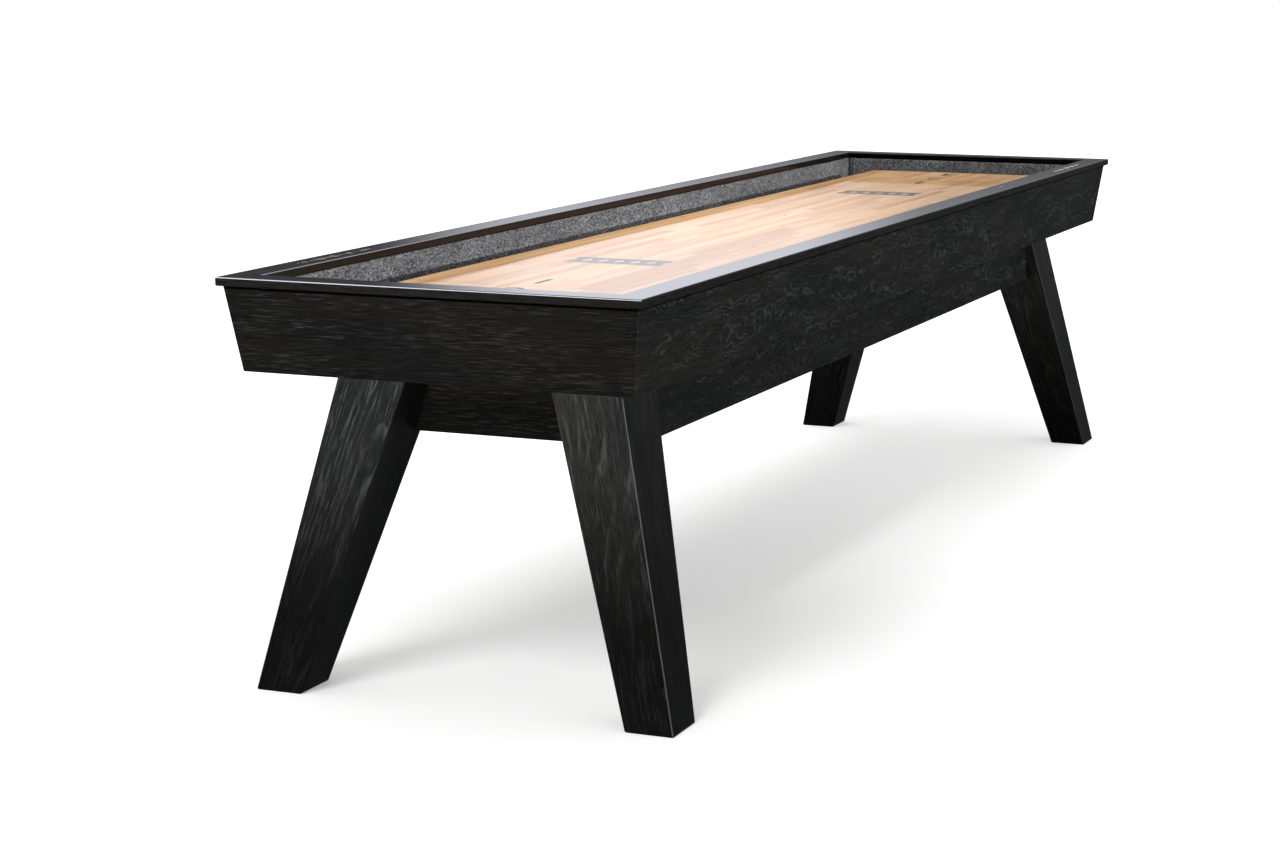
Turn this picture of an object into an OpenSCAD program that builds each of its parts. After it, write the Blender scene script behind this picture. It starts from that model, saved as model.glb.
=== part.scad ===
// Shuffleboard table with a black-stained hopper cabinet, a maple playfield and splayed legs.
// Origin: on the floor under the middle of the table. X runs along the table, Z is up.
// Front is -Y, back is +Y, left is -X and right is +X.

/* [Table] */
// Overall length over the top rails
table_len = 3658; // [3400:2:4200]
// Overall width over the top rails
table_w = 840; // [820:2:900]
// Height of the top rails above the floor
table_h = 813; // [780:1:860]

/* [Top rails] */
// Width of a top rail board
rail_w = 62; // [58:1:66]
// Thickness of a top rail board
rail_t = 17; // [15:1:20]
// Radius of the eased edges of the rails
rail_ease = 3; // [1:0.5:5]
// Overhang of the rails past the outer panels
rail_overhang = 10; // [6:1:12]
// Length of the brass inlay in a rail
inlay_len = 300; // [120:10:320]
// Distance from the end of the table to the middle of the inlay
inlay_inset = 400; // [300:10:800]
// Depth of the brass inlay
inlay_t = 1.2; // [0.8:0.1:2]

/* [Cabinet] */
// Height of the sloping outer panels
panel_h = 162; // [156:1:180]
// Thickness of the outer panels, measured level
panel_t = 12; // [10:1:12]
// How far the front and back panels lean in towards their lower edge
side_lean = 20; // [0:1:24]
// How far the end panels lean in towards their lower edge
end_lean = 34; // [0:1:34]
// Thickness of the cabinet floor board
deck_t = 18; // [15:1:20]
// Height of the cabinet floor above the lower edge of the panels
deck_rise = 16; // [8:1:20]
// Thickness of the walls around the gutter
wall_t = 9; // [6:1:9]
// Thickness of the felt on the gutter walls and floor
felt_t = 3; // [2:0.5:4]

/* [Playfield] */
// Width of the maple playfield
field_w = 508; // [480:1:520]
// Thickness of the playfield
field_t = 45; // [38:1:48]
// Drop from the top of the rails to the playing surface
field_drop = 45; // [40:1:50]
// Gap between each end of the playfield and the top rail
end_gutter = 81; // [70:1:100]

/* [Legs] */
// Size of a foot along and across the table
foot_size = [112, 97]; // [90:1:130]
// Size of the top of a leg along and across the table
leg_top_size = [170, 146]; // [150:1:180]
// Outer corner of a foot, in from the end and the side of the rails
foot_inset = [137, -11]; // [-20:1:160]
// Outer corner of a leg top, in from the end and the side of the rails
leg_top_inset = [231, 138]; // [130:1:240]
// Height of the aprons below the cabinet floor
apron_h = 159; // [120:1:170]
// Thickness of the aprons
apron_t = 22; // [18:1:24]
// Travel of a leveller out of its leg
leveller_travel = 15; // [5:1:20]

/* [Hidden] */
$fn = 48;

// Levels
rail_z = table_h - rail_t;
panel_z = rail_z - panel_h;
deck_z = panel_z + deck_rise;
deck_top = deck_z + deck_t;
carpet_top = deck_top + felt_t;
field_top = table_h - field_drop;
field_z = field_top - field_t;
apron_z = deck_z - apron_h;

// Half sizes in plan
half_len = table_len / 2;
half_w = table_w / 2;
well = [half_len - rail_w, half_w - rail_w];
wall_in = [well[0] + felt_t, well[1] + felt_t];
wall_out = [wall_in[0] + wall_t, wall_in[1] + wall_t];
// Glue line between the edge of the cabinet floor and the outer panels
glue_gap = 0.05;
panel_top = [half_len - rail_overhang, half_w - rail_overhang];
panel_bottom = [panel_top[0] - end_lean, panel_top[1] - side_lean];
field_half = [well[0] - end_gutter, field_w / 2];

// Cradle under the playfield
runner_t = 38;
runner_out = field_half[1] - 25;
runner_in = runner_out - runner_t;
cradle_end = field_half[0] - 46;
bearer_w = 70;
bearer_x = [-cradle_end + bearer_w / 2, -560, 560, cradle_end - bearer_w / 2];
field_bolt_y = 120;

// Climate adjusters
adjuster_x = [-1080, 0, 1080];
adjuster_z = field_z - 28;
lug_y = 140;
lug_t = 6;
adjuster_rod_r = 6;
sleeve_half = 60;
access = [160, 200];
run_gap = 0.05;

// Battens and rail screws
batten_h = 20;
side_batten_w = 24;
end_batten_w = 22;
side_screw_x = [for (i = [-3 : 3]) i * 540];
end_screw_y = [-220, 0, 220];
rail_screw_r = 2;

// Legs, seen in the quarter with positive X and Y
foot_out = [half_len - foot_inset[0], half_w - foot_inset[1]];
foot_in = foot_out - foot_size;
top_out = [half_len - leg_top_inset[0], half_w - leg_top_inset[1]];
top_in = top_out - leg_top_size;
foot_mid = (foot_out + foot_in) / 2;
side_apron_y = top_out[1] - 7;
end_apron_x = top_in[0] + 65;
dowel_r = 6;
dowel_half = 30;
dowel_z = [deck_z - 110, deck_z - 40];
stud_x = [top_in[0] + 30, top_in[0] + 120];
stud_y = top_in[1] + 42;
stud_r = 5;
stud_z = [deck_z - 60, deck_top + 22];

// Brackets that hold the aprons to the cabinet floor
bracket = [50, 40, 3];
side_bracket_x = [-860, 0, 860];
end_bracket_y = [-70, 70];

// Levellers
recess = [30, 15];
pad_r = 27;
pad_t = 8;
stem_r = 5;
stem_seat = 3;
stem_top = 84;
collar_z = [pad_t + 0.4, pad_t + 5.4];
insert_r = 8;
insert_z = [recess[1], 45];

black_stain = [0.11, 0.11, 0.11];
felt_grey = [0.34, 0.34, 0.35];
maple = [0.83, 0.66, 0.46];
plywood = [0.72, 0.58, 0.40];
brass = [0.80, 0.64, 0.33];
zinc = [0.66, 0.67, 0.70];
dark_steel = [0.22, 0.22, 0.24];

// ---- Placing ----

// Puts a shape drawn in the positive quarter into the quarter with signs sx and sy
module quarter(sx, sy) {
    mirror([sx < 0 ? 1 : 0, 0, 0])
        mirror([0, sy < 0 ? 1 : 0, 0])
            children();
}

module each_quarter() {
    for (sx = [-1, 1], sy = [-1, 1])
        quarter(sx, sy) children();
}

// A box from corner a to corner b
module span_box(a, b) {
    translate(a) cube(b - a);
}

// A cylinder along X, Y or Z that starts at a point
module rod_x(start, r, h) {
    translate(start) rotate([0, 90, 0]) cylinder(r = r, h = h);
}

module rod_y(start, r, h) {
    translate(start) rotate([-90, 0, 0]) cylinder(r = r, h = h);
}

module rod_z(start, r, h) {
    translate(start) cylinder(r = r, h = h);
}

// An outline in X and Z, made thick along Y from y0 to y1
module wall_xz(points, y0, y1) {
    translate([0, y1, 0])
        rotate([90, 0, 0])
            linear_extrude(y1 - y0) polygon(points);
}

// An outline in Y and Z, made thick along X from x0 to x1
module wall_yz(points, x0, x1) {
    translate([x0, 0, 0])
        rotate([90, 0, 90])
            linear_extrude(x1 - x0) polygon(points);
}

// A hexagon nut along Z with its bore
module hex_nut(across_flats, h, bore_r) {
    difference() {
        cylinder(d = across_flats / cos(30), h = h, $fn = 6);
        translate([0, 0, -1]) cylinder(r = bore_r, h = h + 2);
    }
}

// ---- Top rails ----

// Section of a rail board from its inner edge at 0, with all four edges eased
module rail_section() {
    translate([rail_ease, 0]) square([rail_w - 2 * rail_ease, rail_t]);
    translate([0, rail_ease]) square([rail_w, rail_t - 2 * rail_ease]);
    for (u = [rail_ease, rail_w - rail_ease], v = [rail_ease, rail_t - rail_ease])
        translate([u, v]) circle(rail_ease);
}

// A rail along X whose outer edge is at y = -cross, with mitred ends at x = +-reach
module mitred_rail(reach, cross) {
    intersection() {
        translate([-reach, -cross + rail_w, rail_z])
            rotate([90, 0, 90])
                mirror([1, 0, 0])
                    linear_extrude(2 * reach) rail_section();
        translate([0, 0, rail_z - 1])
            linear_extrude(rail_t + 2)
                polygon([
                    [-reach, -cross], [reach, -cross],
                    [reach - rail_w, -cross + rail_w], [-reach + rail_w, -cross + rail_w]
                ]);
    }
}

module side_rail_screw_holes() {
    for (x = side_screw_x)
        rod_z([x, -side_screw_y(), rail_z - 1], rail_screw_r, 11);
}

function side_screw_y() = wall_out[1] + side_batten_w / 2;
function end_screw_x() = wall_out[0] + end_batten_w / 2;

module lozenge(reach, spread) {
    polygon([[-reach, 0], [0, -spread], [reach, 0], [0, spread]]);
}

// Slim bar through a row of lozenges, the widest in its middle
module inlay_outline() {
    square([inlay_len, 3], center = true);
    for (i = [-2 : 2])
        translate([i * inlay_len / 5, 0]) lozenge(23 - 3 * abs(i), 9 - 1.5 * abs(i));
}

// Inlay of the front rail: on the rail's centre line, near its right-hand end
module rail_inlay(height) {
    translate([half_len - inlay_inset, -half_w + rail_w / 2, table_h - inlay_t])
        linear_extrude(height) inlay_outline();
}

module side_top_rail() {
    difference() {
        mitred_rail(half_len, half_w);
        side_rail_screw_holes();
        rail_inlay(inlay_t + 1);
    }
}

module end_top_rail() {
    difference() {
        rotate([0, 0, 90]) mitred_rail(half_w, half_len);
        for (y = end_screw_y)
            rod_z([end_screw_x(), y, rail_z - 1], rail_screw_r, 11);
    }
}

module right_top_rail() { color(black_stain) end_top_rail(); }
module left_top_rail() { color(black_stain) rotate([0, 0, 180]) end_top_rail(); }
module front_top_rail() { color(black_stain) side_top_rail(); }
module back_top_rail() { color(black_stain) rotate([0, 0, 180]) side_top_rail(); }
module front_rail_inlay() { color(brass) rail_inlay(inlay_t); }
module back_rail_inlay() { color(brass) rotate([0, 0, 180]) rail_inlay(inlay_t); }

// Battens under the rails, between the gutter walls and the outer panels
module rail_battens() {
    side_half = wall_out[0] - 9;
    end_half = wall_out[1] - 2;
    color(plywood) {
        for (a = [0, 180])
            rotate([0, 0, a])
                difference() {
                    span_box(
                        [-side_half, -wall_out[1] - side_batten_w, rail_z - batten_h],
                        [side_half, -wall_out[1], rail_z]);
                    for (x = side_screw_x)
                        rod_z([x, -side_screw_y(), rail_z - batten_h - 1], rail_screw_r, batten_h + 2);
                }
        for (a = [0, 180])
            rotate([0, 0, a])
                difference() {
                    span_box(
                        [wall_out[0], -end_half, rail_z - batten_h],
                        [wall_out[0] + end_batten_w, end_half, rail_z]);
                    for (y = end_screw_y)
                        rod_z([end_screw_x(), y, rail_z - batten_h - 1], rail_screw_r, batten_h + 2);
                }
    }
}

// A pan-head screw that points up, its head seat at z = 0
module wood_screw_up(length, r, head_r, head_t) {
    translate([0, 0, -head_t / 2]) cylinder(r = r, h = length + head_t / 2);
    translate([0, 0, -head_t]) cylinder(r = head_r, h = head_t);
}

module rail_screws() {
    screw_len = batten_h + 10;
    color(zinc)
        for (a = [0, 180])
            rotate([0, 0, a]) {
                for (x = side_screw_x)
                    translate([x, -side_screw_y(), rail_z - batten_h])
                        wood_screw_up(screw_len, rail_screw_r, 4, 2.5);
                for (y = end_screw_y)
                    translate([end_screw_x(), y, rail_z - batten_h])
                        wood_screw_up(screw_len, rail_screw_r, 4, 2.5);
            }
}

// ---- Outer panels ----

// A sloping board along X on the -Y side, mitred at both ends.
// top and bottom are the half length and half width of its outer corners.
module mitred_panel(top, bottom) {
    inner_top = top - [panel_t, panel_t];
    inner_bottom = bottom - [panel_t, panel_t];
    polyhedron(
        points = [
            [-bottom[0], -bottom[1], panel_z], [bottom[0], -bottom[1], panel_z],
            [inner_bottom[0], -inner_bottom[1], panel_z], [-inner_bottom[0], -inner_bottom[1], panel_z],
            [-top[0], -top[1], rail_z], [top[0], -top[1], rail_z],
            [inner_top[0], -inner_top[1], rail_z], [-inner_top[0], -inner_top[1], rail_z]
        ],
        faces = [
            [0, 1, 2, 3], [4, 7, 6, 5], [0, 4, 5, 1], [1, 5, 6, 2], [2, 6, 7, 3], [3, 7, 4, 0]
        ]);
}

function swapped(v) = [v[1], v[0]];

module front_panel() { color(black_stain) mitred_panel(panel_top, panel_bottom); }
module back_panel() { color(black_stain) rotate([0, 0, 180]) mitred_panel(panel_top, panel_bottom); }
module right_end_panel() {
    color(black_stain)
        rotate([0, 0, 90]) mitred_panel(swapped(panel_top), swapped(panel_bottom));
}
module left_end_panel() {
    color(black_stain)
        rotate([0, 0, -90]) mitred_panel(swapped(panel_top), swapped(panel_bottom));
}

// ---- Cabinet floor ----

// Half sizes of the space inside the panels at height z
function inside_at(z) = [
    panel_top[0] - panel_t - end_lean * (rail_z - z) / panel_h,
    panel_top[1] - panel_t - side_lean * (rail_z - z) / panel_h
];

// Bevelled board that fills the space inside the panels, with holes for hands, studs and bolts
module cabinet_floor() {
    low = inside_at(deck_z) - [glue_gap, glue_gap];
    high = inside_at(deck_top) - [glue_gap, glue_gap];
    color(plywood)
        difference() {
            intersection() {
                wall_xz(
                    [[-low[0], deck_z], [low[0], deck_z], [high[0], deck_top], [-high[0], deck_top]],
                    -half_w, half_w);
                wall_yz(
                    [[-low[1], deck_z], [low[1], deck_z], [high[1], deck_top], [-high[1], deck_top]],
                    -half_len, half_len);
            }
            for (x = adjuster_x)
                translate([x - access[0] / 2, -access[1] / 2, deck_z - 1])
                    cube([access[0], access[1], deck_t + 2]);
            each_quarter()
                for (x = stud_x)
                    rod_z([x, stud_y, deck_z - 1], stud_r + 0.5, deck_t + 2);
            for (x = bearer_x, y = [-field_bolt_y, field_bolt_y])
                rod_z([x, y, deck_z - 1], 4.5, deck_t + 2);
            each_bracket() bracket_pilot_holes();
        }
}

// ---- Gutter ----

module side_gutter_wall() {
    span_box([-wall_out[0], -wall_out[1], deck_top], [wall_out[0], -wall_in[1], rail_z]);
}

module end_gutter_wall() {
    span_box([wall_in[0], -wall_in[1], deck_top], [wall_out[0], wall_in[1], rail_z]);
}

module front_gutter_wall() { color(plywood) side_gutter_wall(); }
module back_gutter_wall() { color(plywood) rotate([0, 0, 180]) side_gutter_wall(); }
module right_gutter_wall() { color(plywood) end_gutter_wall(); }
module left_gutter_wall() { color(plywood) rotate([0, 0, 180]) end_gutter_wall(); }

module side_wall_felt() {
    span_box([-wall_in[0], -wall_in[1], carpet_top], [wall_in[0], -well[1], rail_z]);
}

module end_wall_felt() {
    span_box([well[0], -well[1], carpet_top], [wall_in[0], well[1], rail_z]);
}

module front_wall_felt() { color(felt_grey) side_wall_felt(); }
module back_wall_felt() { color(felt_grey) rotate([0, 0, 180]) side_wall_felt(); }
module right_wall_felt() { color(felt_grey) end_wall_felt(); }
module left_wall_felt() { color(felt_grey) rotate([0, 0, 180]) end_wall_felt(); }

module side_gutter_carpet() {
    span_box([-wall_in[0], -wall_in[1], deck_top], [wall_in[0], -runner_out, carpet_top]);
}

module end_gutter_carpet() {
    span_box([cradle_end, -runner_out, deck_top], [wall_in[0], runner_out, carpet_top]);
}

module front_gutter_carpet() { color(felt_grey) side_gutter_carpet(); }
module back_gutter_carpet() { color(felt_grey) rotate([0, 0, 180]) side_gutter_carpet(); }
module right_gutter_carpet() { color(felt_grey) end_gutter_carpet(); }
module left_gutter_carpet() { color(felt_grey) rotate([0, 0, 180]) end_gutter_carpet(); }

// ---- Cradle and playfield ----

module cradle_runner() {
    span_box([-cradle_end, -runner_out, deck_top], [cradle_end, -runner_in, field_z]);
}

module front_cradle_runner() { color(plywood) cradle_runner(); }
module back_cradle_runner() { color(plywood) rotate([0, 0, 180]) cradle_runner(); }

module cradle_bearers() {
    color(plywood)
        for (x = bearer_x)
            difference() {
                span_box(
                    [x - bearer_w / 2, -runner_in, deck_top],
                    [x + bearer_w / 2, runner_in, field_z]);
                for (y = [-field_bolt_y, field_bolt_y])
                    rod_z([x, y, deck_top - 1], 4.5, field_z - deck_top + 2);
            }
}

field_bolt_depth = 30;
field_bolt_r = 4;

module playfield() {
    color(maple)
        difference() {
            span_box(
                [-field_half[0], -field_half[1], field_z],
                [field_half[0], field_half[1], field_top]);
            for (x = bearer_x, y = [-field_bolt_y, field_bolt_y])
                rod_z([x, y, field_z - 1], field_bolt_r, field_bolt_depth + 1);
            for (x = adjuster_x, y = screw_ys())
                for (dx = [-20, 20])
                    rod_z([x + dx, y, field_z - 1], 2.5, 21);
        }
}

// Lag bolts from below, through the floor and the bearers into the playfield
module playfield_bolts() {
    washer_t = 2;
    color(zinc)
        for (x = bearer_x, y = [-field_bolt_y, field_bolt_y])
            translate([x, y, deck_z - washer_t]) {
                cylinder(r = field_bolt_r, h = field_z - deck_z + washer_t + field_bolt_depth);
                cylinder(r = 10, h = washer_t);
                translate([0, 0, -5.5]) cylinder(d = 13 / cos(30), h = 6.5, $fn = 6);
            }
}

// ---- Climate adjusters ----

bracket_plate = [60, 44, 6];

function screw_ys() = [-lug_y - 28, lug_y + 28];

// A foot plate under the playfield with a lug turned down from its inner edge
module adjuster_bracket() {
    difference() {
        union() {
            span_box(
                [-bracket_plate[0] / 2, lug_y, field_z - bracket_plate[2]],
                [bracket_plate[0] / 2, lug_y + bracket_plate[1], field_z]);
            span_box(
                [-bracket_plate[0] / 2, lug_y, adjuster_z - 16],
                [bracket_plate[0] / 2, lug_y + lug_t, field_z]);
        }
        rod_y([0, lug_y - 1, adjuster_z], adjuster_rod_r, lug_t + 2);
        for (dx = [-20, 20])
            rod_z([dx, lug_y + 28, field_z - bracket_plate[2] - 1], 2.5, bracket_plate[2] + 2);
    }
}

module adjuster_brackets() {
    color(dark_steel)
        for (x = adjuster_x, sy = [-1, 1])
            translate([x, 0, 0]) quarter(1, sy) adjuster_bracket();
}

module adjuster_bracket_screws() {
    color(zinc)
        for (x = adjuster_x, y = screw_ys(), dx = [-20, 20])
            translate([x + dx, y, field_z - bracket_plate[2]])
                wood_screw_up(bracket_plate[2] + 20, 2.5, 5, 3);
}

// Each adjuster has two threaded rods, one on each side of its turnbuckle
module adjuster_rods() {
    rod_start = 25;
    rod_end = lug_y + lug_t + 18;
    color(zinc)
        for (x = adjuster_x, sy = [-1, 1])
            quarter(1, sy)
                rod_y([x, rod_start, adjuster_z], adjuster_rod_r, rod_end - rod_start);
}

module adjuster_nuts() {
    nut_h = 10;
    color(zinc)
        for (x = adjuster_x, sy = [-1, 1], y = [lug_y - nut_h, lug_y + lug_t])
            quarter(1, sy)
                translate([x, y, adjuster_z])
                    rotate([-90, 0, 0]) hex_nut(19, nut_h, adjuster_rod_r);
}

// Hexagon sleeve that turns on both rods and draws them together or pushes them apart
module turnbuckle(x) {
    translate([x, -sleeve_half, adjuster_z])
        rotate([-90, 0, 0])
            hex_nut(24, 2 * sleeve_half, adjuster_rod_r + run_gap);
}

module left_turnbuckle() { color(dark_steel) turnbuckle(adjuster_x[0]); }
module middle_turnbuckle() { color(dark_steel) turnbuckle(adjuster_x[1]); }
module right_turnbuckle() { color(dark_steel) turnbuckle(adjuster_x[2]); }

// ---- Legs ----

// Inner faces of a leg at height z, along X and along Y
function leg_in(z) = foot_in + (top_in - foot_in) * z / deck_z;

// Holes for the two dowels of each apron, in the positive quarter
module dowels() {
    for (z = dowel_z) {
        rod_x([leg_in(z)[0] - dowel_half, side_apron_y - apron_t / 2, z], dowel_r, 2 * dowel_half);
        rod_y([end_apron_x - apron_t / 2, leg_in(z)[1] - dowel_half, z], dowel_r, 2 * dowel_half);
    }
}

// Tapered leg that splays along and across the table
module leg() {
    difference() {
        intersection() {
            wall_xz(
                [[foot_in[0], 0], [foot_out[0], 0], [top_out[0], deck_z], [top_in[0], deck_z]],
                0, half_w + 40);
            wall_yz(
                [[foot_in[1], 0], [foot_out[1], 0], [top_out[1], deck_z], [top_in[1], deck_z]],
                0, half_len);
        }
        rod_z([foot_mid[0], foot_mid[1], -1], recess[0], recess[1] + 1);
        rod_z([foot_mid[0], foot_mid[1], recess[1] - 1], insert_r, insert_z[1] - recess[1] + 1);
        rod_z([foot_mid[0], foot_mid[1], insert_z[1] - 1], stem_r + 1, stem_top - insert_z[1] + 3);
        for (x = stud_x)
            rod_z([x, stud_y, stud_z[0]], stud_r, deck_z - stud_z[0] + 1);
        dowels();
    }
}

module front_left_leg() { color(black_stain) quarter(-1, -1) leg(); }
module front_right_leg() { color(black_stain) quarter(1, -1) leg(); }
module back_left_leg() { color(black_stain) quarter(-1, 1) leg(); }
module back_right_leg() { color(black_stain) quarter(1, 1) leg(); }

module leg_studs() {
    color(zinc)
        each_quarter()
            for (x = stud_x)
                rod_z([x, stud_y, stud_z[0]], stud_r, stud_z[1] - stud_z[0]);
}

washer = [10, 2];

module leg_washers() {
    color(zinc)
        each_quarter()
            for (x = stud_x)
                translate([x, stud_y, deck_top])
                    difference() {
                        cylinder(r = washer[0], h = washer[1]);
                        translate([0, 0, -1]) cylinder(r = stud_r + 0.5, h = washer[1] + 2);
                    }
}

module leg_nuts() {
    color(zinc)
        each_quarter()
            for (x = stud_x)
                translate([x, stud_y, deck_top + washer[1]]) hex_nut(17, 8, stud_r);
}

// ---- Aprons ----

// Long apron between two legs, on the +Y side
module side_apron() {
    low = leg_in(apron_z)[0];
    high = leg_in(deck_z)[0];
    difference() {
        wall_xz(
            [[-low, apron_z], [low, apron_z], [high, deck_z], [-high, deck_z]],
            side_apron_y - apron_t, side_apron_y);
        for (sx = [-1, 1]) quarter(sx, 1) dowels();
        for (x = side_bracket_x)
            translate([x, side_apron_y - apron_t, deck_z]) bracket_pilot_holes();
    }
}

// Short apron between two legs, on the +X side
module end_apron() {
    low = leg_in(apron_z)[1];
    high = leg_in(deck_z)[1];
    difference() {
        wall_yz(
            [[-low, apron_z], [low, apron_z], [high, deck_z], [-high, deck_z]],
            end_apron_x - apron_t, end_apron_x);
        for (sy = [-1, 1]) quarter(1, sy) dowels();
        for (y = end_bracket_y)
            translate([end_apron_x - apron_t, y, deck_z])
                rotate([0, 0, -90]) bracket_pilot_holes();
    }
}

module front_apron() { color(black_stain) rotate([0, 0, 180]) side_apron(); }
module back_apron() { color(black_stain) side_apron(); }
module left_end_apron() { color(black_stain) rotate([0, 0, 180]) end_apron(); }
module right_end_apron() { color(black_stain) end_apron(); }

module apron_dowels() { color(maple) each_quarter() dowels(); }

// An angle bracket below the floor, its upright flange against an apron at y = 0
bracket_screw_r = 2;
bracket_screw_x = [-15, 15];

module angle_bracket() {
    difference() {
        union() {
            span_box(
                [-bracket[0] / 2, -bracket[1], -bracket[2]],
                [bracket[0] / 2, 0, 0]);
            span_box(
                [-bracket[0] / 2, -bracket[2], -bracket[1]],
                [bracket[0] / 2, 0, 0]);
        }
        for (x = bracket_screw_x) {
            rod_z([x, -25, -bracket[2] - 1], bracket_screw_r, bracket[2] + 2);
            rod_y([x, -bracket[2] - 1, -25], bracket_screw_r, bracket[2] + 2);
        }
    }
}

// Holes for the screws of a bracket, in the apron behind it and in the floor above it
module bracket_pilot_holes() {
    for (x = bracket_screw_x) {
        rod_y([x, -1, -25], bracket_screw_r, 15);
        rod_z([x, -25, -1], bracket_screw_r, 15);
    }
}

module bracket_screws() {
    for (x = bracket_screw_x) {
        translate([x, -25, -bracket[2]])
            wood_screw_up(bracket[2] + 12, bracket_screw_r, 4, 2);
        translate([x, -bracket[2], -25])
            rotate([-90, 0, 0])
                wood_screw_up(bracket[2] + 12, bracket_screw_r, 4, 2);
    }
}

// Places a bracket or its screws at every fixing point of the four aprons
module each_bracket() {
    for (a = [0, 180])
        rotate([0, 0, a]) {
            for (x = side_bracket_x)
                translate([x, side_apron_y - apron_t, deck_z]) children();
            for (y = end_bracket_y)
                translate([end_apron_x - apron_t, y, deck_z])
                    rotate([0, 0, -90]) children();
        }
}

module apron_brackets() { color(dark_steel) each_bracket() angle_bracket(); }
module apron_bracket_screws() { color(zinc) each_bracket() bracket_screws(); }

// ---- Levellers ----

module leveller_inserts() {
    color(zinc)
        each_quarter()
            translate([foot_mid[0], foot_mid[1], insert_z[0]])
                difference() {
                    cylinder(r = insert_r, h = insert_z[1] - insert_z[0]);
                    translate([0, 0, -1])
                        cylinder(r = stem_r + run_gap, h = insert_z[1] - insert_z[0] + 2);
                }
}

// Round foot that stays still while its stem turns in it
module pad() {
    translate([foot_mid[0], foot_mid[1], 0])
        difference() {
            rotate_extrude()
                polygon([
                    [0, 0], [pad_r - 2, 0], [pad_r, 2], [pad_r, 4],
                    [14, pad_t], [0, pad_t]
                ]);
            translate([0, 0, stem_seat - 0.3])
                cylinder(r = stem_r + run_gap, h = pad_t);
        }
}

// Threaded stem with a hexagon collar for a spanner
module stem() {
    translate([foot_mid[0], foot_mid[1], 0]) {
        translate([0, 0, stem_seat]) cylinder(r = stem_r, h = stem_top - stem_seat);
        translate([0, 0, collar_z[0]])
            cylinder(d = 17 / cos(30), h = collar_z[1] - collar_z[0], $fn = 6);
    }
}

module front_left_pad() { color(dark_steel) quarter(-1, -1) pad(); }
module front_right_pad() { color(dark_steel) quarter(1, -1) pad(); }
module back_left_pad() { color(dark_steel) quarter(-1, 1) pad(); }
module back_right_pad() { color(dark_steel) quarter(1, 1) pad(); }
module front_left_stem() { color(zinc) quarter(-1, -1) stem(); }
module front_right_stem() { color(zinc) quarter(1, -1) stem(); }
module back_left_stem() { color(zinc) quarter(-1, 1) stem(); }
module back_right_stem() { color(zinc) quarter(1, 1) stem(); }

front_top_rail();
back_top_rail();
left_top_rail();
right_top_rail();
front_rail_inlay();
back_rail_inlay();
rail_battens();
rail_screws();
front_panel();
back_panel();
left_end_panel();
right_end_panel();
front_gutter_wall();
back_gutter_wall();
left_gutter_wall();
right_gutter_wall();
front_wall_felt();
back_wall_felt();
left_wall_felt();
right_wall_felt();
front_gutter_carpet();
back_gutter_carpet();
left_gutter_carpet();
right_gutter_carpet();
cabinet_floor();
front_cradle_runner();
back_cradle_runner();
cradle_bearers();
playfield();
playfield_bolts();
adjuster_brackets();
adjuster_bracket_screws();
adjuster_rods();
adjuster_nuts();
left_turnbuckle();
middle_turnbuckle();
right_turnbuckle();
front_apron();
back_apron();
left_end_apron();
right_end_apron();
apron_dowels();
apron_brackets();
apron_bracket_screws();
front_left_leg();
front_right_leg();
back_left_leg();
back_right_leg();
leg_studs();
leg_washers();
leg_nuts();
leveller_inserts();
front_left_pad();
front_right_pad();
back_left_pad();
back_right_pad();
front_left_stem();
front_right_stem();
back_left_stem();
back_right_stem();
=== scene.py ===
"""Shuffleboard table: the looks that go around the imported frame. Metres, +Z up, the frame's own axes."""

import itertools
import math

import bmesh
import bpy
from mathutils import Matrix, Vector, noise


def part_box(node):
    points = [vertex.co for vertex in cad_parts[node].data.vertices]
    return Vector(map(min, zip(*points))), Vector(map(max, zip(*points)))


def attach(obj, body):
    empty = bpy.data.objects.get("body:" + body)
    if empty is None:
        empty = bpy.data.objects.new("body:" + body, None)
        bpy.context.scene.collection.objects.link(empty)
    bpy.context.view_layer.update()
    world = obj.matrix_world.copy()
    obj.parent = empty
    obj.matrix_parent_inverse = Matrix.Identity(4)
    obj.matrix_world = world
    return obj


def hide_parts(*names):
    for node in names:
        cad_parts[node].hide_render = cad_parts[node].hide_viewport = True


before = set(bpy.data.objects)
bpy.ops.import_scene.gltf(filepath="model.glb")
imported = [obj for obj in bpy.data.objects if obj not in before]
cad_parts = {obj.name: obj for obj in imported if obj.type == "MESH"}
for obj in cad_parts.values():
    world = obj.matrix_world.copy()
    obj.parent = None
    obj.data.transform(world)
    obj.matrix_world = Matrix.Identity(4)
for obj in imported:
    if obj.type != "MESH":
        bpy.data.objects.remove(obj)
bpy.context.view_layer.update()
MM = 0.001

X, Y, Z = Vector((1, 0, 0)), Vector((0, 1, 0)), Vector((0, 0, 1))
ENDS = ("left", "right")
SIDES = ("front", "back")
CORNERS = ("front_left", "front_right", "back_left", "back_right")


# ---------------------------------------------------------------- shader graphs


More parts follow.
